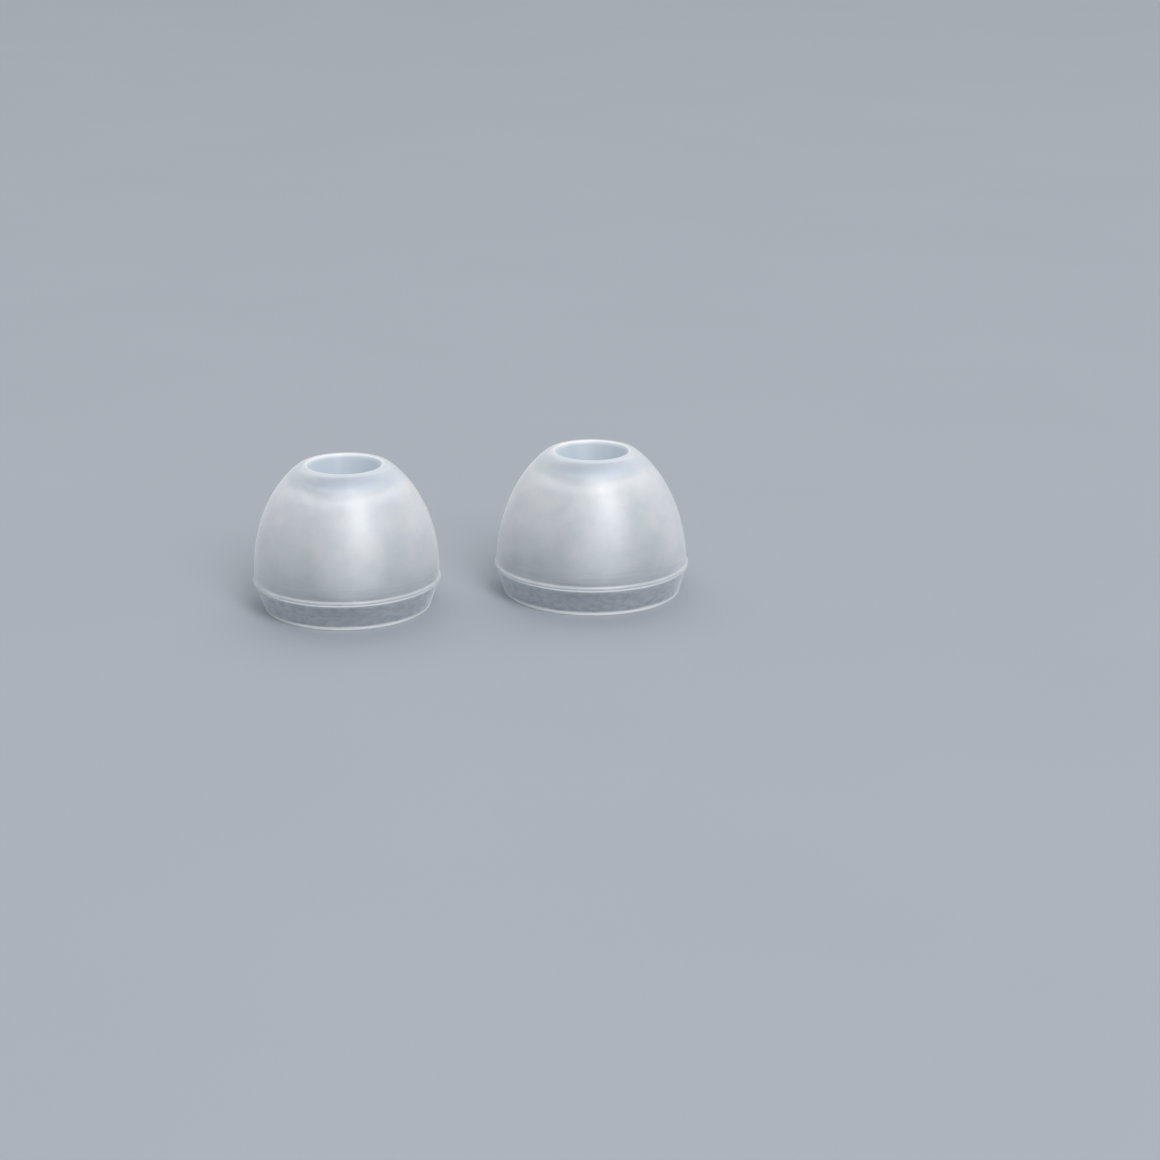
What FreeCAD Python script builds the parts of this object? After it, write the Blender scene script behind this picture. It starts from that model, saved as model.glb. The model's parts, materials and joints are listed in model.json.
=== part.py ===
"""A pair of silicone ear tips for in-ear monitors, standing side by side on their open rims.

Each tip is moulded in two shots. The soft umbrella is the dome that seals the ear canal: a collar
with a flared mouth at the top, a wall that thins towards the rim, a parting bead near the widest
ring and a skirt tucked in below it. The firmer core sleeve hangs inside it, seated in the collar,
and grips the nozzle of an earphone.

Lengths are millimetres and +Z is up. The rims stand on z = 0 and both axes cross the X axis. Heights
are measured from the rim plane, and radii from the tip's own axis.
"""

import math
import os

import FreeCAD
import Part

# The umbrella's dome, tip by tip: its widest radius, the height of that ring and the rim's radius.
LEFT_DOME_RADIUS = 6.09
LEFT_WIDEST_Z = 2.50
LEFT_RIM_RADIUS = 5.47
RIGHT_DOME_RADIUS = 6.42
RIGHT_WIDEST_Z = 1.50
RIGHT_RIM_RADIUS = 5.92

# The collar, the solid ring round the mouth.
TIP_HEIGHT = 9.60
COLLAR_DEPTH = 2.05  # from the lip down to the roof of the pocket
MOUTH_RADIUS = 2.46
MOUTH_BEVEL = 0.06
LIP_WIDTH = 0.46  # from the mouth to the dome, before the lip's outer edge is rounded
LIP_FLAT = 0.08  # what stays level between the mouth's bevel and that rounding

# The umbrella's wall.
ROOT_WALL = 1.15  # measured level, beside the pocket's roof
BEAD_WALL = 0.45  # at the parting bead
RIM_WALL = 0.32
RIM_BEVEL = 0.09
POCKET_ROUND = 0.35  # between the pocket's roof and its outer wall

# The parting bead, where the two halves of the mould meet.
BEAD_Z = 1.90
BEAD_HEIGHT = 0.27
BEAD_PROUD = 0.11
BEAD_BEVEL = 0.05

# The core sleeve.
BORE_RADIUS = 2.05
SLEEVE_WALL = 0.55
SEAT_DEPTH = 0.60  # how far the sleeve goes up into the collar
FOOT_Z = 1.10  # the sleeve's lower end
FOOT_BEVEL = 0.14
ENTRY_BEVEL = 0.25
GROOVE_FROM_FOOT = 3.80  # up to the middle of the groove for the nozzle's flange
GROOVE_WIDTH = 0.90
GROOVE_DEPTH = 0.18

# The pair, from axis to axis.
SPACING = 16.51

SLEEVE_RADIUS = BORE_RADIUS + SLEEVE_WALL
POCKET_ROOF_Z = TIP_HEIGHT - COLLAR_DEPTH
SLEEVE_TOP_Z = POCKET_ROOF_Z + SEAT_DEPTH
DOME_BANDS = 7  # faces that carry a dome, one above another
SAME = 1e-4  # two lengths closer than this are the same


def point(radius, height):
    """A point of a tip's half section."""
    return FreeCAD.Vector(radius, 0, height)


def lines(points):
    """The straight edges that join the points in turn."""
    return [Part.LineSegment(a, b).toShape() for a, b in zip(points, points[1:])]


class Dome:
    """Part of an ellipse about the tip's axis, widest at one height, that passes through one point."""

    def __init__(self, radius, widest_z, through):
        self.radius = radius
        self.widest_z = widest_z
        self.rise = (through.z - widest_z) / math.sqrt(1 - (through.x / radius) ** 2)

    def angle(self, height):
        """The ellipse's own angle, from its top down to that height."""
        return math.acos((height - self.widest_z) / self.rise)

    def at(self, height):
        return point(self.radius * math.sin(self.angle(height)), height)

    def slope(self, height):
        """How steeply the dome falls away at that height, as an angle from level."""
        angle = self.angle(height)
        return math.atan2(self.rise * math.sin(angle), self.radius * math.cos(angle))

    def bands(self, upper_z, lower_z):
        """The outline between two heights, as edges that follow on from each other."""
        middle = point(0, self.widest_z)
        top = point(0, self.widest_z + self.rise)
        side = point(self.radius, self.widest_z)
        upper, lower = self.angle(upper_z), self.angle(lower_z)
        if self.rise >= self.radius:
            ellipse, start, end = Part.Ellipse(top, side, middle), upper, lower
        else:
            ellipse, start, end = Part.Ellipse(side, top, middle), math.pi / 2 - lower, math.pi / 2 - upper
        step = (end - start) / DOME_BANDS
        starts = [start + step * i for i in range(DOME_BANDS)]
        return [Part.ArcOfEllipse(ellipse, first, first + step).toShape() for first in starts]


def turned(edges):
    """The solid that a closed half section makes when it turns round the tip's axis."""
    face = Part.Face(Part.Wire(Part.__sortEdges__(edges)))
    return face.revolve(FreeCAD.Vector(0, 0, 0), FreeCAD.Vector(0, 0, 1), 360)


def rounded(solid, size, corner):
    """solid with the ring edge that passes through that corner of the half section rounded."""
    rings = []
    for edge in solid.Edges:
        ring = edge.Curve
        if isinstance(ring, Part.Circle) and (point(ring.Radius, ring.Center.z) - corner).Length < SAME:
            rings.append(edge)
    return solid.makeFillet(size, rings)


def outer_dome(radius, widest_z):
    """The dome's outside, which runs up to the outer edge of the lip."""
    return Dome(radius, widest_z, point(MOUTH_RADIUS + LIP_WIDTH, TIP_HEIGHT))


def inner_dome(outside):
    """The dome's inside, which leaves the root's wall at the top and the bead's wall at the widest ring."""
    root = outside.at(POCKET_ROOF_Z) - point(ROOT_WALL, 0)
    return Dome(outside.radius - BEAD_WALL, outside.widest_z, root)


def bead_radius(outside):
    """The tip's largest radius."""
    return outside.at(BEAD_Z).x + BEAD_PROUD


def bead(outside):
    """The bead's outline, from the dome above it to the skirt below it."""
    top = outside.at(BEAD_Z + BEAD_HEIGHT / 2)
    bottom = outside.at(BEAD_Z - BEAD_HEIGHT / 2)
    crest = bead_radius(outside)
    return [top, point(crest, top.z - BEAD_BEVEL), point(crest, bottom.z + BEAD_BEVEL), bottom]


def rim(radius):
    """The rim's outline, from the skirt's outside to its inside, with the flat that the tip stands on."""
    bevel = min(RIM_BEVEL, RIM_WALL / 3)
    inner = radius - RIM_WALL
    return [point(radius, bevel), point(radius - bevel, 0), point(inner + bevel, 0), point(inner, bevel)]


def mouth_bevel():
    """The bevel on the mouth's edge, which takes a third of the lip at most."""
    return min(MOUTH_BEVEL, LIP_WIDTH / 3)


def lip_round(outside):
    """The radius that rounds the lip's outer edge over to the dome and leaves the lip's flat."""
    reach = LIP_WIDTH - mouth_bevel() - min(LIP_FLAT, LIP_WIDTH / 3)
    return reach / math.tan(outside.slope(TIP_HEIGHT) / 2)


def collar(root):
    """The outline from the pocket's roof, over the sleeve's seat and up the flared mouth, to the lip."""
    return [
        root,
        point(SLEEVE_RADIUS, POCKET_ROOF_Z),
        point(SLEEVE_RADIUS, SLEEVE_TOP_Z),
        point(BORE_RADIUS, SLEEVE_TOP_Z),
        point(MOUTH_RADIUS, TIP_HEIGHT - mouth_bevel()),
        point(MOUTH_RADIUS + mouth_bevel(), TIP_HEIGHT),
        point(MOUTH_RADIUS + LIP_WIDTH, TIP_HEIGHT),
    ]


def umbrella(outside, rim_radius):
    """The soft outer piece: collar, dome, parting bead and tucked-in skirt in one moulding."""
    inside = inner_dome(outside)
    root = inside.at(POCKET_ROOF_Z)
    lower = bead(outside) + rim(rim_radius) + [inside.at(BEAD_Z)]
    upper = collar(root)
    edges = lines(lower) + lines(upper)
    edges += outside.bands(TIP_HEIGHT, lower[0].z) + inside.bands(POCKET_ROOF_Z, BEAD_Z)
    solid = rounded(turned(edges), lip_round(outside), upper[-1])
    return rounded(solid, min(POCKET_ROUND, (root.x - SLEEVE_RADIUS) / 2), root)


def core_sleeve():
    """The firmer tube: bevelled entry, nozzle bore and a groove that the nozzle's flange snaps into."""
    entry = min(ENTRY_BEVEL, SLEEVE_WALL / 2)
    foot = min(FOOT_BEVEL, SLEEVE_WALL / 3)
    groove_z = FOOT_Z + GROOVE_FROM_FOOT
    groove_radius = BORE_RADIUS + GROOVE_DEPTH
    outline = [
        point(SLEEVE_RADIUS - foot, FOOT_Z),
        point(SLEEVE_RADIUS, FOOT_Z + foot),
        point(SLEEVE_RADIUS, SLEEVE_TOP_Z),
        point(BORE_RADIUS, SLEEVE_TOP_Z),
        point(BORE_RADIUS, groove_z + GROOVE_WIDTH / 2 + GROOVE_DEPTH),
        point(groove_radius, groove_z + GROOVE_WIDTH / 2),
        point(groove_radius, groove_z - GROOVE_WIDTH / 2),
        point(BORE_RADIUS, groove_z - GROOVE_WIDTH / 2 - GROOVE_DEPTH),
        point(BORE_RADIUS, FOOT_Z + entry),
        point(BORE_RADIUS + entry, FOOT_Z),
    ]
    return turned(lines(outline + outline[:1]))


def main():
    left = outer_dome(LEFT_DOME_RADIUS, LEFT_WIDEST_Z)
    right = outer_dome(RIGHT_DOME_RADIUS, RIGHT_WIDEST_Z)
    middle = (bead_radius(left) - bead_radius(right)) / 2  # puts the pair's footprint round x = 0
    tips = [
        ("left", left, LEFT_RIM_RADIUS, middle - SPACING / 2),
        ("right", right, RIGHT_RIM_RADIUS, middle + SPACING / 2),
    ]
    os.makedirs("parts", exist_ok=True)
    for side, outside, rim_radius, axis_x in tips:
        pieces = {"umbrella": umbrella(outside, rim_radius), "core_sleeve": core_sleeve()}
        for name, shape in pieces.items():
            shape.translate(FreeCAD.Vector(axis_x, 0, 0))
            shape.exportStep(f"parts/{side}_{name}.step")
            print(side, name, "valid", shape.isValid(), "volume", round(shape.Volume, 3), "mm3")


main()
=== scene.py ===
# %% [markdown]
# # A pair of silicone ear tips
# An ear tip is the soft dome between an in-ear monitor and the ear canal. Each one is moulded in two
# shots: a soft umbrella that seals the canal, and a firmer sleeve inside it that grips the nozzle.
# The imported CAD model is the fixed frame. It says where each piece is and how large, so everything
# that this file makes takes its place and its main sizes from there.

import json
import math
from functools import partial

import bmesh
import bpy
from mathutils import Euler, Matrix, Vector, noise


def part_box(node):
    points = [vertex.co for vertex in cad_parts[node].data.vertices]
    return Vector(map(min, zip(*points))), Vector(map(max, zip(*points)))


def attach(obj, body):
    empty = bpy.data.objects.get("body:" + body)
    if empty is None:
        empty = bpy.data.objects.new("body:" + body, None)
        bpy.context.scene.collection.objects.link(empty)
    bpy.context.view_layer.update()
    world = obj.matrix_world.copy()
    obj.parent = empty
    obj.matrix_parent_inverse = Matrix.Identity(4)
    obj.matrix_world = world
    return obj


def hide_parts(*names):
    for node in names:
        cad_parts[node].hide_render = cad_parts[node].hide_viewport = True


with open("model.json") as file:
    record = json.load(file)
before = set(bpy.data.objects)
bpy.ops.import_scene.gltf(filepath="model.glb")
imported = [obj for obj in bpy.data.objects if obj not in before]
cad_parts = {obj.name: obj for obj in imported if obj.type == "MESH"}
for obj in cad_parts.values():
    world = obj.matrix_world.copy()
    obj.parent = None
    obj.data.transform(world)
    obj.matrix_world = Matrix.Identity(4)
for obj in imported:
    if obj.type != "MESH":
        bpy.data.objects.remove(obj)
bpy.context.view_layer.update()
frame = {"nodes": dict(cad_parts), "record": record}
MM = 0.001
print("nodes", sorted(frame["nodes"]))

# %% [markdown]
# ## What the frame tells about each tip
# A tip is a body of revolution, so its box says nearly everything: the middle of the box is the axis,
# half its width is the radius of the parting bead, and its top is the lip. The sleeve's box gives the
# tube's radius and both of its ends, and the record's bore mount gives the hole.

# %% Measure both tips
SIDES = ("left", "right")


def measure(side):
    """One tip's axis and main sizes, from its two boxes and its bore mount."""
    low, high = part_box(side + "_umbrella")
    foot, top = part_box(side + "_core_sleeve")
    bore = next(m for m in frame["record"]["mounts"] if m["name"] == side + "_nozzle_bore")
    return {
        "axis": Vector(((low.x + high.x) / 2, (low.y + high.y) / 2, 0)),
        "bead_radius": (high.x - low.x) / 2,
        "height": high.z,
        "sleeve_radius": (top.x - foot.x) / 2,
        "foot_z": foot.z,
        "seat_z": top.z,
        "bore_radius": bore["dims"]["r_mm"] * MM,
    }


tips = {side: measure(side) for side in SIDES}
for side, tip in tips.items():
    print(side, {name: round(value / MM, 2) for name, value in tip.items() if name != "axis"}, "mm")

# %% [markdown]
# ## Drawing a half section
# A mould for a round part is cut on a lathe, and the same thought makes the mesh: draw half of the
# section once, as points with a radius and a height, and turn it round the axis. Round stretches come
# from a formula. A quarter of an ellipse fits a dome, because it starts upright at the widest ring and
# leans in faster and faster. Small corners are eased with a short curve, so that they catch the light.

# %% Curves of the half section
EASE_STEPS = 5


def ellipse_through(low, high, widest_z):
    """The width and rise of the ellipse round (0, widest_z) that passes through both points."""
    low_z, high_z = low[1] - widest_z, high[1] - widest_z
    scale = (low[0] * high_z) ** 2 - (high[0] * low_z) ** 2
    width = math.sqrt(scale / (high_z**2 - low_z**2))
    rise = math.sqrt(scale / (low[0] ** 2 - high[0] ** 2))
    return width, rise


def radius_at(ellipse, widest_z, z):
    """The radius of the dome at a height."""
    width, rise = ellipse
    return width * math.sqrt(1 - ((z - widest_z) / rise) ** 2)


def dome_points(ellipse, widest_z, from_z, to_z, steps):
    """Points along the dome, evenly spaced by angle."""
    width, rise = ellipse
    first, last = (math.acos((z - widest_z) / rise) for z in (from_z, to_z))
    angles = [first + (last - first) * i / steps for i in range(steps + 1)]
    return [(width * math.sin(a), widest_z + rise * math.cos(a)) for a in angles]


def eased(point, before, after, reach):
    """A short curve in place of a corner, which starts and ends reach away from it."""
    ends = []
    for other in (before, after):
        length = math.dist(point, other)
        share = min(reach / length, 0.5)  # never past the middle of a short side
        ends.append([p + (o - p) * share for p, o in zip(point, other)])
    pulls = (ends[0], point, ends[1])
    points = []
    for i in range(EASE_STEPS + 1):
        t = i / EASE_STEPS
        weights = ((1 - t) ** 2, 2 * t * (1 - t), t**2)
        points.append(tuple(sum(w * p[k] for w, p in zip(weights, pulls)) for k in (0, 1)))
    return points


print("a dome 6 wide and 8 high has radius", round(radius_at((6, 8), 0, 4), 2), "half way up")

# %% [markdown]
# ## The umbrella
# The umbrella is the soft piece. From the top it has a flared mouth with a thin lip, a solid collar, a
# dome whose wall thins from about 1 mm to under half a millimetre, the parting bead where the halves of
# the mould met, and a skirt that tucks in to the rim it stands on. Between the dome and the sleeve is
# an open pocket, which lets the dome fold flat in the ear. All of it is one closed half section.

# %% Sizes that the boxes don't tell
WIDEST_Z = {"left": 2.50 * MM, "right": 1.50 * MM}
TUCK = {"left": 0.71 * MM, "right": 0.60 * MM}  # how far the rim lies inside the bead
BEAD_Z = 1.90 * MM
BEAD_HEIGHT = 0.27 * MM
BEAD_PROUD = 0.11 * MM
MOUTH_RADIUS = 2.46 * MM
LIP_WIDTH = 0.46 * MM
SEAT_DEPTH = 0.60 * MM
ROOT_WALL = 1.15 * MM
BEAD_WALL = 0.45 * MM
RIM_WALL = 0.32 * MM
LIP_REACH, DOME_START = 0.33 * MM, 0.26 * MM  # the lip rolls over, and the dome starts just below it
EASE = 0.05 * MM  # small corners of the mouth and the bead
RIM_EASE = (0.06 * MM, 0.10 * MM)  # outer and inner corner of the rim
ROOF_EASE, POCKET_END = 0.15 * MM, 0.12 * MM  # the roof's rounding, and how far below it the inside ends
SEAT_EASE = 0.01 * MM
print("wall from", ROOT_WALL / MM, "to", RIM_WALL / MM, "mm")

# %% [markdown]
# ## What the rubber is like along the wall
# The mesh carries three numbers for the shader at each of its points. Milk is how much light the wall
# stops, so the thick dome has more of it than the thin skirt. Tint is how bluish the clearer rubber of
# the collar looks. Edge is painted glow: 1 paints a full white line along a sharp edge, for the light that
# leaks out of the rubber there, and 0.6 paints a fainter line. Textures could carry all this too, but
# numbers on the mesh need no unwrapping.

# %% Milk, tint and painted glow lines
MILK = {
    "mouth": 0.70, "lip": 0.34, "collar": 0.26, "dome_top": 0.55, "dome_low": 0.19,
    "bead_crown": 0.30, "bead_low": 0.40, "skirt": 0.22, "inner": 0.10, "roof": 0.20,
}
TINT = {"mouth": 1.0, "mouth_edge": 0.8, "collar": 0.35}  # inside the mouth it is bluer
# white lines painted along sharp edges: painted glow and highlight, for light that leaks out there
GLOW_LINES = {
    "mouth": 1.0, "bead_top": 0.6, "bead_crown": 0.1, "bead_low": 1.0, "bead_foot": 0.3,
    "rim": 1.0, "rim_inside": 0.5,
}
# the rim's white line is painted glow as well
RIM_GLOW_LINE = (0.18, 0.11)  # between these shares of the skirt's height the rim's white line fades in
CLEAR_Z, CLEAR_BLEND = 8.70 * MM, 0.40 * MM  # where the dome gives way to the clearer collar
print("milk from", min(MILK.values()), "to", max(MILK.values()))

# %% [markdown]
# ## The umbrella's half section
# The corners are listed once round the wall: from the mouth over the lip, down the outside of the dome,
# over the bead and down the skirt, across the rim, up the inside, round the pocket's roof and along the
# seat in the collar. The outside and the inside are two different ellipses, so the wall thins evenly.

# %% Corners of the umbrella
DOME_STEPS = 48


def corner(radius, z, reach=0, milk=0, tint=0, edge=0):
    """A corner: its place, how far its rounding reaches, its milk and tint, and its painted glow line."""
    return radius, z, reach, milk, tint, edge


def dome_corner(tip, radius, z, edge=0):
    """A point on the dome's outside. Its milk thins downwards and clears up in the collar."""
    into_collar = min(max((z - CLEAR_Z) / CLEAR_BLEND + 0.5, 0), 1)
    down = (tip["seat_z"] - z) / (tip["seat_z"] - BEAD_Z)
    milk = MILK["dome_top"] + (MILK["dome_low"] - MILK["dome_top"]) * max(down, 0)
    milk += (MILK["collar"] - milk) * into_collar
    return corner(radius, z, 0, milk, TINT["collar"] * into_collar, edge)


def umbrella_section(side):
    """The corners of the closed outline, once round the wall."""
    tip = tips[side]
    widest_z, height = WIDEST_Z[side], tip["height"]
    roof_z = tip["seat_z"] - SEAT_DEPTH
    lip = (MOUTH_RADIUS + LIP_WIDTH, height)
    wall_radius = tip["bead_radius"] - BEAD_PROUD
    rim_radius = tip["bead_radius"] - TUCK[side]
    bead_top, bead_low = BEAD_Z + BEAD_HEIGHT / 2, BEAD_Z - BEAD_HEIGHT / 2

    outside = ellipse_through((wall_radius, BEAD_Z), lip, widest_z)
    root_radius = radius_at(outside, widest_z, roof_z) - ROOT_WALL
    inside = ellipse_through((wall_radius - BEAD_WALL, BEAD_Z), (root_radius, roof_z), widest_z)
    dome = dome_points(outside, widest_z, height - DOME_START, bead_top, DOME_STEPS)
    pocket = dome_points(inside, widest_z, BEAD_Z, roof_z - POCKET_END, DOME_STEPS)
    tuck = wall_radius - rim_radius
    # line_top and line_full bound the rim's painted glow line, which fades in between them
    line_top, line_full = ((rim_radius + tuck * share, bead_low * share) for share in RIM_GLOW_LINE)
    # edge= paints white glow and highlight lines on the mouth, the bead and the rim
    return [
        corner(MOUTH_RADIUS, height, EASE, MILK["mouth"], TINT["mouth_edge"], GLOW_LINES["mouth"]),
        corner(*lip, LIP_REACH, MILK["lip"], TINT["collar"]),
        *(dome_corner(tip, *place) for place in dome[:-1]),
        dome_corner(tip, *dome[-1], GLOW_LINES["bead_top"]),
        corner(tip["bead_radius"], bead_top - EASE, EASE, MILK["bead_crown"], edge=GLOW_LINES["bead_crown"]),
        corner(tip["bead_radius"], bead_low + EASE, EASE, MILK["bead_low"], edge=GLOW_LINES["bead_low"]),
        corner(wall_radius, bead_low, EASE / 2, MILK["skirt"], edge=GLOW_LINES["bead_foot"]),
        corner(*line_top, 0, MILK["skirt"]),
        corner(*line_full, 0, MILK["skirt"], edge=GLOW_LINES["rim"]),
        corner(rim_radius, 0, RIM_EASE[0], MILK["skirt"], edge=GLOW_LINES["rim"]),
        corner(rim_radius - RIM_WALL, 0, RIM_EASE[1], MILK["inner"], edge=GLOW_LINES["rim_inside"]),
        *(corner(*place, 0, MILK["inner"]) for place in pocket),
        corner(root_radius, roof_z, ROOF_EASE, MILK["roof"]),
        corner(tip["sleeve_radius"], roof_z, 2 * SEAT_EASE, MILK["roof"]),
        corner(tip["sleeve_radius"], tip["seat_z"], SEAT_EASE, MILK["roof"]),
        corner(tip["bore_radius"], tip["seat_z"], SEAT_EASE, MILK["mouth"], TINT["mouth"]),
    ]


print("left umbrella:", len(umbrella_section("left")), "corners")

# %% [markdown]
# ## From corners to a chain of points
# Each corner with a reach becomes a short curve. Long straight stretches are divided, because the milk
# is blended from point to point, and a long narrow face would smear a white line over its whole length.

# %% The outline
PATCH = 0.25 * MM  # longest stretch between two points on a straight line


def outline(corners):
    """The corners as a closed chain of points, with roundings drawn in and long stretches divided."""
    points = []
    for i, (radius, z, reach, *qualities) in enumerate(corners):
        before, after = corners[i - 1], corners[(i + 1) % len(corners)]
        places = eased((radius, z), before[:2], after[:2], reach) if reach else [(radius, z)]
        points += [(*place, *qualities) for place in places]
    chain = []
    for start, end in zip(points, points[1:] + points[:1]):
        parts = max(1, math.ceil(math.dist(start[:2], end[:2]) / PATCH))
        chain.append(start)
        for i in range(1, parts):
            chain.append((*(s + (e - s) * i / parts for s, e in zip(start[:4], end[:4])), 0))
    return chain


sections = {side: outline(umbrella_section(side)) for side in SIDES}
for side in SIDES:
    print(side, "umbrella section:", len(sections[side]), "points")

# %% [markdown]
# ## Turning the section
# The Screw modifier could turn the section too. A short loop in mesh code is used instead, because it
# also lets each ring be a little out of true: soft silicone never stands perfectly round, and the thin
# seam of rubber on the parting bead is uneven. The errors only ever go inwards, so the piece keeps the
# size that the frame gives it.

# %% Out of true
OUT_OF_ROUND = 0.030 * MM
LEAN = {"left": 0.6, "right": 2.1}  # the direction in which each tip is pressed flat, in radians
SEAM_NOISE = 0.045 * MM
SEAM_GRAIN = 0.35 * MM


def out_of_true(side, angle, radius, z):
    """How far inwards a point of the umbrella lies from a true circle."""
    tip = tips[side]
    droop = 1 - z / tip["height"]
    error = OUT_OF_ROUND * droop * (1 - math.cos(2 * (angle - LEAN[side]))) / 2
    beyond_wall = radius - (tip["bead_radius"] - BEAD_PROUD / 2)
    if beyond_wall > 0:
        way = Vector((math.cos(angle), math.sin(angle), 0))
        error += SEAM_NOISE * abs(noise.noise(way * (radius / SEAM_GRAIN) + tip["axis"] / MM))
    return error


def perfectly_round(angle, radius, z):
    return 0


worst = max(out_of_true("left", i / 10, tips["left"]["bead_radius"], BEAD_Z) for i in range(63))
print("left bead out of true by up to", round(worst / MM, 3), "mm")

# %% The lathe
SEGMENTS = 224


def turn(name, chain, axis, error=perfectly_round):
    """A closed ring-shaped mesh: the chain of points turned round a vertical axis."""
    mesh = bpy.data.meshes.new(name)
    shell = bmesh.new()
    rings = []
    for i in range(SEGMENTS):
        angle = 2 * math.pi * i / SEGMENTS
        way = Vector((math.cos(angle), math.sin(angle), 0))
        rings.append([
            shell.verts.new(axis + way * (r - error(angle, r, z)) + Vector((0, 0, z)))
            for r, z, *qualities in chain
        ])
    for here, there in zip(rings, rings[1:] + rings[:1]):
        for j in range(len(chain)):
            k = (j + 1) % len(chain)
            shell.faces.new((here[j], here[k], there[k], there[j]))
    bmesh.ops.recalc_face_normals(shell, faces=shell.faces)
    shell.to_mesh(mesh)
    shell.free()
    mesh.shade_smooth()
    # edge carries the painted glow lines to the shader
    for k, quality in ((2, "milk"), (3, "tint"), (4, "edge")):
        values = [float(p[k]) for p in chain] * SEGMENTS
        mesh.attributes.new(quality, "FLOAT", "POINT").data.foreach_set("value", values)
    piece = bpy.data.objects.new(name, mesh)
    bpy.context.scene.collection.objects.link(piece)
    return piece


umbrellas = {}
for side in SIDES:
    uneven = partial(out_of_true, side)
    umbrellas[side] = turn(side + "_tip_umbrella", sections[side], tips[side]["axis"], uneven)
    print(umbrellas[side].name, len(umbrellas[side].data.polygons), "faces")

# %% [markdown]
# ## The core sleeve
# The sleeve is the firmer shot, a plain tube with a bevelled foot and a shallow groove half way up that
# the nozzle's flange snaps into. It shows through the dome as a paler column. It seats in the collar
# face to face, and a hair's breadth is left there, so that no two surfaces lie in one another.

# %% Build the sleeves
GROOVE_FROM_FOOT = 3.80 * MM
GROOVE_WIDTH = 0.90 * MM
GROOVE_DEPTH = 0.18 * MM
ENTRY_BEVEL = 0.25 * MM
SLEEVE_EASE = 0.06 * MM
BOND_GAP = 0.008 * MM
SLEEVE_MILK = 0.75
FOOT_SHARE, FOOT_FADE = 0.72, 3.0 * MM  # share of the milk at the foot, and the rise that adds a whole share


def sleeve_section(side):
    """The corners of the tube: outer foot, top, the groove on the way down, and the entry's bevel."""
    tip = tips[side]
    bore, outside = tip["bore_radius"], tip["sleeve_radius"] - BOND_GAP
    top, foot = tip["seat_z"] - BOND_GAP, tip["foot_z"]
    low = foot + GROOVE_FROM_FOOT - GROOVE_WIDTH / 2
    high = low + GROOVE_WIDTH
    places = [
        (outside, foot, 2 * SLEEVE_EASE),
        (outside, top, BOND_GAP),
        (bore, top, BOND_GAP),
        (bore, high + GROOVE_DEPTH, SLEEVE_EASE),
        (bore + GROOVE_DEPTH, high, SLEEVE_EASE),
        (bore + GROOVE_DEPTH, low, SLEEVE_EASE),
        (bore, low - GROOVE_DEPTH, SLEEVE_EASE),
        (bore, foot + ENTRY_BEVEL, SLEEVE_EASE),
        (bore + ENTRY_BEVEL, foot, SLEEVE_EASE),
    ]
    shares = [min(FOOT_SHARE + (z - foot) / FOOT_FADE, 1) for radius, z, reach in places]
    return [corner(*place, SLEEVE_MILK * share) for place, share in zip(places, shares)]


sleeves = {}
for side in SIDES:
    sleeves[side] = turn(side + "_tip_sleeve", outline(sleeve_section(side)), tips[side]["axis"])
    print(sleeves[side].name, len(sleeves[side].data.polygons), "faces")

# %% [markdown]
# ## Tools for materials
# Colours are written as sRGB hex, the way a colour picker gives them, and one function turns them to
# the linear values that the shader counts in. One small function adds a node, sets it and links it.

# %% Colour and node helpers
def to_linear(text):
    """An sRGB hex colour as linear red, green, blue and alpha."""
    channels = [int(text[i : i + 2], 16) / 255 for i in (1, 3, 5)]
    return [c / 12.92 if c <= 0.04045 else ((c + 0.055) / 1.055) ** 2.4 for c in channels] + [1.0]


def add(tree, kind, inputs=None, **settings):
    """Adds a node. settings are its own options, and inputs gives each socket a value or a link."""
    made = tree.nodes.new(kind)
    for name, value in settings.items():
        setattr(made, name, value)
    for name, value in (inputs or {}).items():
        if isinstance(value, bpy.types.NodeSocket):
            tree.links.new(value, made.inputs[name])
        else:
            made.inputs[name].default_value = value
    return made


def blank_material(name):
    """A material with an empty node tree."""
    material = bpy.data.materials.new(name)
    material.use_nodes = True
    material.node_tree.nodes.clear()
    return material


print("white silicone as linear light:", [round(c, 3) for c in to_linear("#E6EBF0")[:3]])

# %% [markdown]
# ## Frosted silicone
# The umbrella is liquid silicone rubber, cured in a steel mould whose cavity was blasted with fine grit.
# The rubber is milky, and yet a wall of half a millimetre lets about half of the light through. There are
# three ways to draw that. Scattering in the volume is the most faithful, but it comes out dark where a
# render follows each ray for only a few bounces. Subsurface scattering alone hides the sleeve inside. So
# the mesh itself says how milky each point is, from how thick the wall is there, and the shader lets the
# rest of the light pass. The passing light is blurred by the matt skin, which gives the frosted look.

# %% Patterns in the rubber
MOTTLE = 1.5 * MM  # cloudy patches from uneven mixing
FLOW_LENGTH, FLOW_HEIGHT = 2.4 * MM, 0.16 * MM  # streaks round the dome, along the way that the rubber flowed
PIT = 0.26 * MM  # real pits are about 0.05 mm, too fine to show
DUST_SPACING = 0.95 * MM
DUST_SIZE = 0.10 * MM  # real specks are half as large, too fine to show
DUST_CHANCE = (0.4, 0.9)  # below the first a place has no speck, from the second on a full one
STREAK_HEIGHTS = (3.6 * MM, 2.0 * MM)  # streaks begin at the first height and are full at the second
PIT_HEIGHTS = (2.2 * MM, 1.7 * MM)
PATCH_CUT = (0.38, 0.74)  # noise values at which a patch begins and is full


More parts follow.
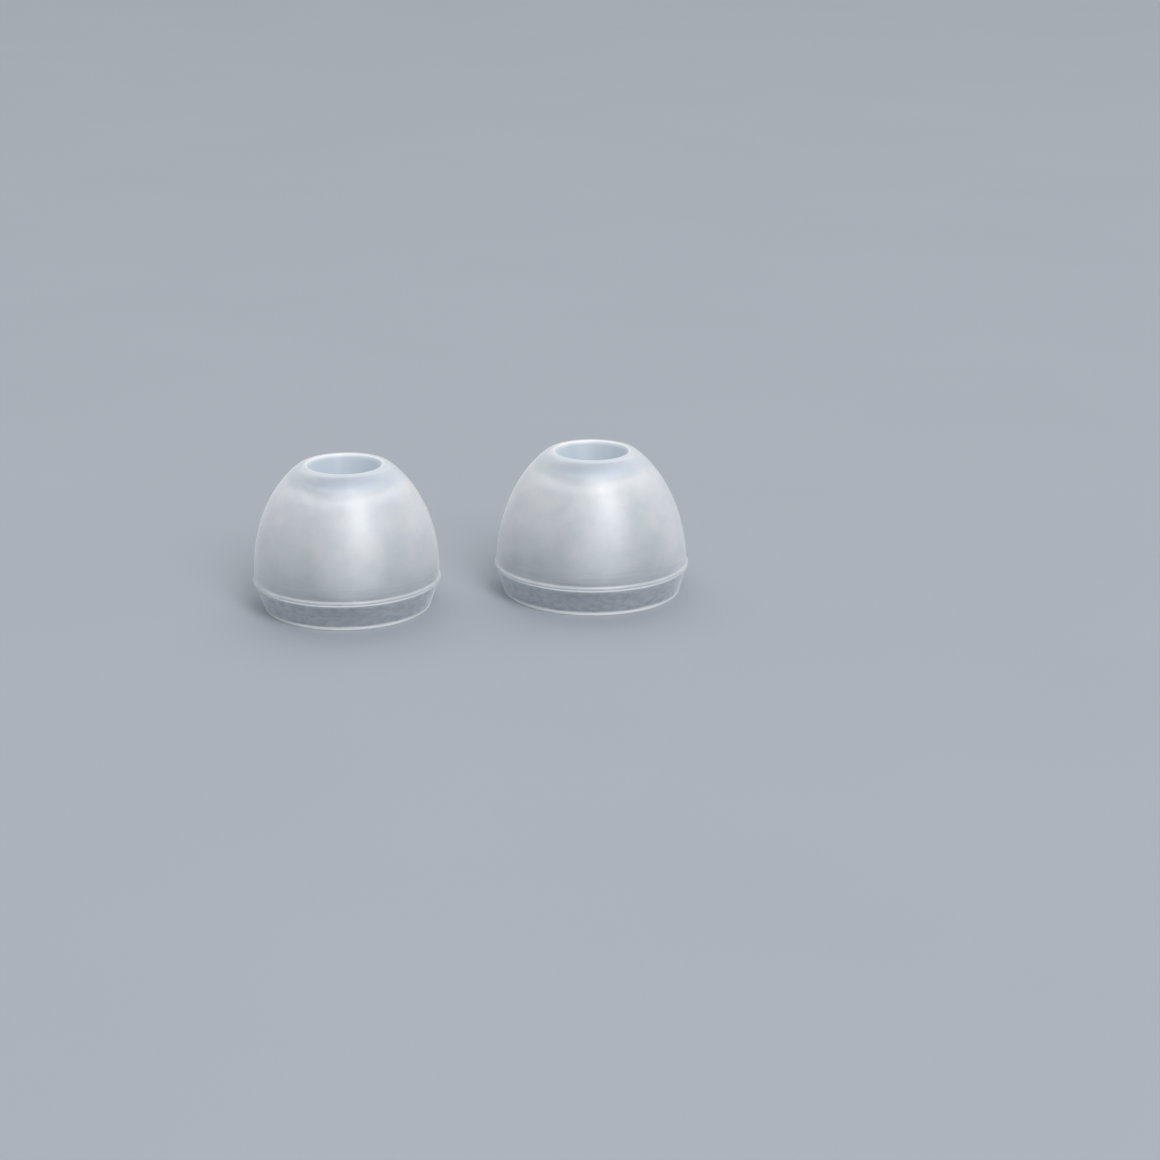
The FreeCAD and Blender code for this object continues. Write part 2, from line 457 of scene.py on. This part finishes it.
def height_mask(tree, place, heights, start=0.0, end=1.0):
    """A value that is start at the first of two heights and end at the second."""
    height = add(tree, "ShaderNodeSeparateXYZ", {"Vector": place}).outputs["Z"]
    ramp = add(tree, "ShaderNodeMapRange", {
        "Value": height, "From Min": heights[0], "From Max": heights[1],
        "To Min": start, "To Max": end,
    })
    return ramp.outputs["Result"]


def silicone_dust(tree, place):
    """A mask that is 1 on the scattered specks of dust and tiny bubbles."""
    cells = add(tree, "ShaderNodeTexVoronoi", {"Vector": place, "Scale": 1 / DUST_SPACING})
    near = add(tree, "ShaderNodeMapRange", {
        "Value": cells.outputs["Distance"],
        "From Min": DUST_SIZE / DUST_SPACING, "From Max": 0.4 * DUST_SIZE / DUST_SPACING,
    })
    chance = add(tree, "ShaderNodeSeparateColor", {"Color": cells.outputs["Color"]})
    shown = add(tree, "ShaderNodeMapRange", {
        "Value": chance.outputs["Red"], "From Min": DUST_CHANCE[0], "From Max": DUST_CHANCE[1],
    })
    both = {0: near.outputs["Result"], 1: shown.outputs["Result"]}
    return add(tree, "ShaderNodeMath", both, operation="MULTIPLY").outputs[0]


def patches(tree, place, size, heights):
    """A mask of patches of a given size, which fade in between two heights."""
    scaled = add(tree, "ShaderNodeMapping", {"Vector": place, "Scale": [1 / s for s in size]})
    patchy = add(tree, "ShaderNodeTexNoise", {
        "Vector": scaled.outputs["Vector"], "Scale": 1.0, "Detail": 2.0,
    })
    cut = add(tree, "ShaderNodeMapRange", {
        "Value": patchy.outputs["Fac"], "From Min": PATCH_CUT[0], "From Max": PATCH_CUT[1],
    })
    both = {0: cut.outputs["Result"], 1: height_mask(tree, place, heights)}
    return add(tree, "ShaderNodeMath", both, operation="MULTIPLY").outputs[0]


print("mottle", MOTTLE / MM, "mm, dust", DUST_SIZE / MM, "mm")

# %% [markdown]
# ## The rubber's own tone
# Silicone has no colour of its own. What looks like one is the filler, the light inside it and the dirt
# on it, so the tone is built up as a painter would: a milky ground, then one veil after another, each
# with its own mask. The grey of the skirt is painted shade, and the white lines on the sharp edges are
# painted glow. The specks and the white lines come last, because they lie over everything else.

# %% Ground and veils
CLOUD_CUT = (0.35, 0.70)  # noise values at which a cloudy patch begins and is full
# between these heights the skirt turns grey: painted shade, for the shaded pocket behind it
SKIRT_SHADE_HEIGHTS = (1.85 * MM, 1.70 * MM)


def silicone_tone(tree, place, look):
    """Base colour: milky, cloudy, bluer in the collar, painted shade on the skirt, painted glow on edges."""
    cloud = add(tree, "ShaderNodeTexNoise", {
        "Vector": place, "Scale": 1 / MOTTLE, "Detail": 6.0, "Roughness": 0.62,
    })
    mottled = add(tree, "ShaderNodeMapRange", {
        "Value": cloud.outputs["Fac"], "From Min": CLOUD_CUT[0], "From Max": CLOUD_CUT[1],
    })
    streaks = patches(tree, place, (FLOW_LENGTH, FLOW_LENGTH, FLOW_HEIGHT), STREAK_HEIGHTS)
    pits = patches(tree, place, (2 * PIT, 2 * PIT, PIT), PIT_HEIGHTS)
    tone = to_linear(look["milk"])
    for mask, colour in (
        (mottled.outputs["Result"], look["cloud"]),
        (add(tree, "ShaderNodeAttribute", attribute_name="tint").outputs["Fac"], look["collar"]),
        (streaks, look["streak"]),
        # painted shade: the skirt is greyed towards the bottom, for the shaded pocket behind it
        (height_mask(tree, place, SKIRT_SHADE_HEIGHTS), look["skirt"]),
        (pits, look["pit"]),
        # specks of dust get the same white as the painted glow lines below
        (silicone_dust(tree, place), look["edge"]),
        # painted glow: white lines along sharp edges, for light that leaks out of the rubber there
        (add(tree, "ShaderNodeAttribute", attribute_name="edge").outputs["Fac"], look["edge"]),
    ):
        veil = {"Fac": mask, "Color1": tone, "Color2": to_linear(colour)}
        tone = add(tree, "ShaderNodeMixRGB", veil).outputs["Color"]
    return tone


print("clouds between noise values", CLOUD_CUT)

# %% [markdown]
# ## How clear the rubber is
# Four things take light away from what passes: the milk in the wall, the longer way through the wall at
# a glancing view, a speck of dust, and a sharp edge. On the edges a white line of painted glow is drawn,
# for light that was trapped in the rubber and leaks out there, and the edge is made nearly opaque so that
# the line shows. Each one lets a share through, so the shares are multiplied. Low on the dome the milk is
# streaky where the rubber flowed in from the bottom of the mould, and the skirt is pitted, because its
# mould half was blasted more coarsely.

# %% Uneven milk
FLOW_SWING, PIT_SWING = 0.8, 0.6  # how far the two patterns push the milk up and down
FLOW_SWING_HEIGHTS, FLOW_ABOVE = (5.5 * MM, 2.0 * MM), 0.05  # and the share that is left above
PIT_SWING_HEIGHTS, PITS_ABOVE = (2.6 * MM, 1.7 * MM), 0.1


def uneven_milk(tree, milk, pattern, strength, where):
    """Milk with a pattern's swing added to it, as strong as where says."""
    swing = add(tree, "ShaderNodeMath", {0: pattern.outputs["Fac"], 1: 0.5}, operation="SUBTRACT")
    swing = add(tree, "ShaderNodeMath", {0: swing.outputs[0], 1: where}, operation="MULTIPLY")
    swing = add(tree, "ShaderNodeMath", {
        0: swing.outputs[0], 1: strength, 2: 1.0,
    }, operation="MULTIPLY_ADD")
    return add(tree, "ShaderNodeMath", {0: milk, 1: swing.outputs[0]}, operation="MULTIPLY").outputs[0]


def streaky_milk(tree, place):
    """The mesh's milk with flow streaks low on the dome and pits in the skirt."""
    squeeze = (1 / FLOW_LENGTH, 1 / FLOW_LENGTH, 1 / FLOW_HEIGHT)
    stretched = add(tree, "ShaderNodeMapping", {"Vector": place, "Scale": squeeze}).outputs["Vector"]
    flow = add(tree, "ShaderNodeTexNoise", {"Vector": stretched, "Scale": 1.0, "Detail": 3.0})
    pitted = add(tree, "ShaderNodeTexNoise", {"Vector": place, "Scale": 1 / PIT, "Detail": 1.0})
    low_dome = height_mask(tree, place, FLOW_SWING_HEIGHTS, start=FLOW_ABOVE)
    in_skirt = height_mask(tree, place, PIT_SWING_HEIGHTS, start=PITS_ABOVE)
    milk = add(tree, "ShaderNodeAttribute", attribute_name="milk").outputs["Fac"]
    milk = uneven_milk(tree, milk, flow, FLOW_SWING, low_dome)
    return uneven_milk(tree, milk, pitted, PIT_SWING, in_skirt)


print("flow streaks", FLOW_HEIGHT / MM, "mm high, pits", PIT / MM, "mm")

# %% The share of light that passes
WALL_HEIGHTS, WALL_SHARES = (1.5 * MM, 8.0 * MM), (0.75, 1.15)  # a thin wall hides less at a glancing view
# the second number is how much of the light the painted glow lines hide, so they read as white
DUST_HIDES, GLOW_LINE_HIDES = 0.75, 0.95


def glancing_wall(tree, place, look):
    """What the longer way through the wall takes away, at a glancing view."""
    facing = add(tree, "ShaderNodeLayerWeight", {"Blend": 0.5}).outputs["Facing"]
    glance = add(tree, "ShaderNodeMath", {0: facing, 1: look["glance_power"]}, operation="POWER")
    glance = add(tree, "ShaderNodeMath", {
        0: glance.outputs[0], 1: look["glance"],
    }, operation="MULTIPLY")
    thick = height_mask(tree, place, WALL_HEIGHTS, *WALL_SHARES)
    return add(tree, "ShaderNodeMath", {
        0: glance.outputs[0], 1: thick,
    }, operation="MULTIPLY", use_clamp=True)


def silicone_clearness(tree, place, look):
    """The share of light that passes through one wall."""
    milk = streaky_milk(tree, place)
    glance = glancing_wall(tree, place, look)
    dust = add(tree, "ShaderNodeMath", {
        0: silicone_dust(tree, place), 1: DUST_HIDES,
    }, operation="MULTIPLY")
    # the painted glow lines hide most of the passing light, so they read as white
    edge = add(tree, "ShaderNodeAttribute", attribute_name="edge").outputs["Fac"]
    edge = add(tree, "ShaderNodeMath", {0: edge, 1: GLOW_LINE_HIDES}, operation="MULTIPLY")

    clear = add(tree, "ShaderNodeMath", {0: 1.0, 1: milk}, operation="SUBTRACT").outputs[0]
    for taker in (glance, dust, edge):
        left_over = add(tree, "ShaderNodeMath", {0: 1.0, 1: taker.outputs[0]}, operation="SUBTRACT")
        clear = add(tree, "ShaderNodeMath", {
            0: clear, 1: left_over.outputs[0],
        }, operation="MULTIPLY").outputs[0]
    return clear


print("a speck hides", DUST_HIDES, "of the light, an edge", GLOW_LINE_HIDES)

# %% [markdown]
# ## The shader
# One Principled shader has the rubber's colour, the passing light and two glosses. The rubber's own gloss
# is the small bright core of the highlight, and a rougher coat over it is the wide glow around that core,
# which comes from a skin with fine and coarse roughness at once. A low swell in the normals keeps the
# highlight from being a perfect streak. Sheen adds the pale bloom of matt rubber at a glancing view.
# Blurred transmission alone would throw a shadow as black as if the tip were made of chalk, so for the
# rays that look for a lamp the shader is swapped for a plain tint: the wall dims the lamp by its milk.

# %% The whole shader
SILICONE_IOR = 1.41
SWELL, SWELL_HEIGHT, SWELL_STRENGTH = 0.9 * MM, 0.05 * MM, 0.55
GRIT, GRIT_HEIGHT = 0.18 * MM, 0.01 * MM  # the blasting grit is about 0.1 mm, drawn coarser to show
GRIT_CUT = (0.3, 0.7)  # noise values between which the roughness changes
SMOOTHER, ROUGHER = -0.03, 0.05  # how far it changes between the grains and on them


def skin_relief(tree, place, grit, look):
    """The normal of the skin: a low swell with the fine grit over it."""
    swell = add(tree, "ShaderNodeTexNoise", {"Vector": place, "Scale": 1 / SWELL, "Detail": 1.0})
    low_waves = add(tree, "ShaderNodeBump", {
        "Height": swell.outputs["Fac"], "Strength": SWELL_STRENGTH, "Distance": SWELL_HEIGHT,
    })
    return add(tree, "ShaderNodeBump", {
        "Height": grit.outputs["Fac"], "Strength": look["grit"], "Distance": GRIT_HEIGHT,
        "Normal": low_waves.outputs["Normal"],
    }).outputs["Normal"]


def moulded_silicone(name, look):
    """Silicone as it comes out of the mould, with the colours and the finish that look gives."""
    material = blank_material(name)
    tree = material.node_tree
    place = add(tree, "ShaderNodeTexCoord").outputs["Object"]
    grit = add(tree, "ShaderNodeTexNoise", {"Vector": place, "Scale": 1 / GRIT, "Detail": 2.0})
    matt = add(tree, "ShaderNodeMapRange", {
        "Value": grit.outputs["Fac"], "From Min": GRIT_CUT[0], "From Max": GRIT_CUT[1],
        "To Min": look["roughness"] + SMOOTHER, "To Max": look["roughness"] + ROUGHER,
    })
    clear = silicone_clearness(tree, place, look)
    skin = add(tree, "ShaderNodeBsdfPrincipled", {
        "Base Color": silicone_tone(tree, place, look),
        "Transmission Weight": clear,
        "Roughness": matt.outputs["Result"],
        "Normal": skin_relief(tree, place, grit, look),
        "IOR": SILICONE_IOR,
        "Coat Weight": 1.0,
        "Coat Roughness": 0.44,
        "Coat IOR": SILICONE_IOR,
        "Sheen Weight": 0.7,
        "Sheen Roughness": 0.3,
    })
    toward_lamp = add(tree, "ShaderNodeBsdfTransparent", {"Color": clear})
    looks_for_lamp = add(tree, "ShaderNodeLightPath").outputs["Is Shadow Ray"]
    rubber = add(tree, "ShaderNodeMixShader", {
        0: looks_for_lamp, 1: skin.outputs["BSDF"], 2: toward_lamp.outputs["BSDF"],
    })
    add(tree, "ShaderNodeOutputMaterial", {"Surface": rubber.outputs["Shader"]})
    return material


print("IOR", SILICONE_IOR, "and grit", GRIT / MM, "mm")

# %% [markdown]
# ## Two silicones
# Both shots are clear silicone rubber with a little filler, and the mould gives each its skin. The soft
# one is cast in a cavity blasted with grit, so it has relief at every scale. The firm one is cast round
# a polished pin and has more filler, so its tones lie closer together and it lets less light through.

# %% Soft and firm silicone
# Cast in a grit-blasted cavity: the eye gets a soft white veil with no sharp reflection in it.
soft_silicone = moulded_silicone("soft_silicone_from_blasted_mould", {
    "milk": "#FBFCFD", "cloud": "#EAEEF3", "collar": "#D8E5F1", "streak": "#D6DCE3",
    # skirt is painted shade, and edge is the white of the specks and of the painted glow lines
    "skirt": "#E0E4E9", "pit": "#BCC3CC", "edge": "#FDFDFE",
    "glance_power": 1.5, "glance": 1.0, "roughness": 0.32, "grit": 0.4,
})
# Cast round a polished pin: the eye gets an even, denser white column with hardly any relief.
firm_silicone = moulded_silicone("firm_silicone_from_polished_pin", {
    "milk": "#FAFBFC", "cloud": "#F4F7FA", "collar": "#F2F6FA", "streak": "#F0F3F6",
    # skirt is painted shade low on the sleeve, and edge is the white of the specks and the glow lines
    "skirt": "#F4F6F8", "pit": "#E8ECF0", "edge": "#FCFDFE",
    "glance_power": 2.5, "glance": 0.6, "roughness": 0.32, "grit": 0.05,
})
print("materials:", soft_silicone.name, firm_silicone.name)

# %% [markdown]
# ## Handing the pieces to the frame
# Each mesh takes the place of one imported node, which is hidden, gets its material and rides on a body.
# Nothing on an ear tip moves, so every piece rides on the root body.

# %% Ride, replace and take a material
for side in SIDES:
    for piece, node, slot, material in (
        (umbrellas[side], side + "_umbrella", "soft_silicone", soft_silicone),
        (sleeves[side], side + "_core_sleeve", "firm_silicone", firm_silicone),
    ):
        piece.data.materials.append(material)
        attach(piece, "root")
        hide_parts(node)
        print(piece.name, "replaces", node)

# %% [markdown]
# ## The floor
# A translucent thing takes half of its colour from what is behind it, so the floor matters as much as the
# rubber. On a white floor a white tip would vanish. A matt painted board in a pale grey lets the white
# edges stand out, and its tint keeps the rubber cool. Its paint has a faint orange peel and cloudiness.

# %% The board
FLOOR_SIZE = 1.6

half = FLOOR_SIZE / 2
corners = [(-half, -half, 0), (half, -half, 0), (half, half, 0), (-half, half, 0)]
board = bpy.data.meshes.new("floor")
board.from_pydata(corners, [], [(0, 1, 2, 3)])
floor = bpy.data.objects.new("floor", board)
bpy.context.scene.collection.objects.link(floor)
print("floor", FLOOR_SIZE, "m square")

# %% Matt sprayed paint
# Sprayed and left to level: the eye gets a soft, even grey with no reflection of the tips in it.
PAINT_CLOUD = 25 * MM
PAINT_PEEL, PEEL_HEIGHT = 1.5 * MM, 0.02 * MM  # orange peel of a sprayed coat

paint = blank_material("matt_sprayed_paint")
tree = paint.node_tree
place = add(tree, "ShaderNodeTexCoord").outputs["Object"]
cloud = add(tree, "ShaderNodeTexNoise", {"Vector": place, "Scale": 1 / PAINT_CLOUD, "Detail": 2.0})
tint = add(tree, "ShaderNodeMixRGB", {
    "Fac": cloud.outputs["Fac"], "Color1": to_linear("#A8AEB6"), "Color2": to_linear("#A4AAB2"),
})
peel = add(tree, "ShaderNodeTexNoise", {"Vector": place, "Scale": 1 / PAINT_PEEL})
dimples = add(tree, "ShaderNodeBump", {
    "Height": peel.outputs["Fac"], "Strength": 0.1, "Distance": PEEL_HEIGHT,
})
coat = add(tree, "ShaderNodeBsdfPrincipled", {
    "Base Color": tint.outputs["Color"], "Normal": dimples.outputs["Normal"], "Roughness": 0.6,
})
add(tree, "ShaderNodeOutputMaterial", {"Surface": coat.outputs["BSDF"]})
board.materials.append(paint)
print(paint.name, "with peel", PAINT_PEEL / MM, "mm")

# %% [markdown]
# ## Light
# Small translucent things are lit from two sides. A tall softbox in front and to the right draws the
# highlight down each dome, and a wide one behind and above shines through the walls, so that the mouths
# and the shoulders glow. An even pale room fills in the rest. The lamps stand over a metre away, which
# keeps the floor evenly lit as far as the view goes.

# %% Room and softboxes
ROOM_COLOUR, ROOM_STRENGTH = "#E8ECF0", 0.56

world = bpy.data.worlds.new("studio")
bpy.context.scene.world = world
world.use_nodes = True
room = world.node_tree.nodes["Background"]
room.inputs["Color"].default_value = to_linear(ROOM_COLOUR)
room.inputs["Strength"].default_value = ROOM_STRENGTH


def softbox(name, azimuth, elevation, distance, size, power):
    """An area lamp that looks at the tips, in degrees, metres and watts. Azimuth 0 is the front."""
    lamp = bpy.data.lights.new(name, "AREA")
    lamp.shape = "RECTANGLE"
    lamp.size, lamp.size_y = size
    lamp.energy = power
    holder = bpy.data.objects.new(name, lamp)
    bpy.context.scene.collection.objects.link(holder)
    a, e = math.radians(azimuth), math.radians(elevation)
    way = Vector((math.sin(a) * math.cos(e), -math.cos(a) * math.cos(e), math.sin(e)))
    holder.location = way * distance
    holder.rotation_euler = way.to_track_quat("Z", "Y").to_euler()
    print(name, "at", [round(c, 2) for c in holder.location], "m")


softbox("key", azimuth=16, elevation=45, distance=1.20, size=(0.50, 0.88), power=8.3)
softbox("rim", azimuth=172, elevation=55, distance=1.40, size=(2.00, 0.80), power=5.8)

# %% [markdown]
# ## Camera
# The camera stands a little to the left and looks down by 18 degrees, which shows the mouths as narrow
# ellipses and the full height of the domes. The longer lens keeps both tips the same shape.

# %% The view
CAMERA_PLACE = Vector((-27.93, -162.71, 55.60)) * MM
CAMERA_AZIMUTH, CAMERA_TILT, CAMERA_ROLL = 12.22, 18.29, 0.15
FOCAL_LENGTH, SENSOR_WIDTH = 80.7, 36.0

lens = bpy.data.cameras.new("camera")
lens.lens = FOCAL_LENGTH
lens.sensor_width = SENSOR_WIDTH
lens.clip_start = 1 * MM
camera = bpy.data.objects.new("camera", lens)
bpy.context.scene.collection.objects.link(camera)
camera.location = CAMERA_PLACE
aim = Euler((math.radians(90 - CAMERA_TILT), 0, math.radians(-CAMERA_AZIMUTH))).to_matrix()
roll = Matrix.Rotation(math.radians(CAMERA_ROLL), 3, "Z")
camera.rotation_euler = (aim @ roll).to_euler()
bpy.context.scene.camera = camera
bpy.context.scene.view_settings.view_transform = "Standard"
print("camera", round(CAMERA_PLACE.length / MM), "mm from the middle of the pair")
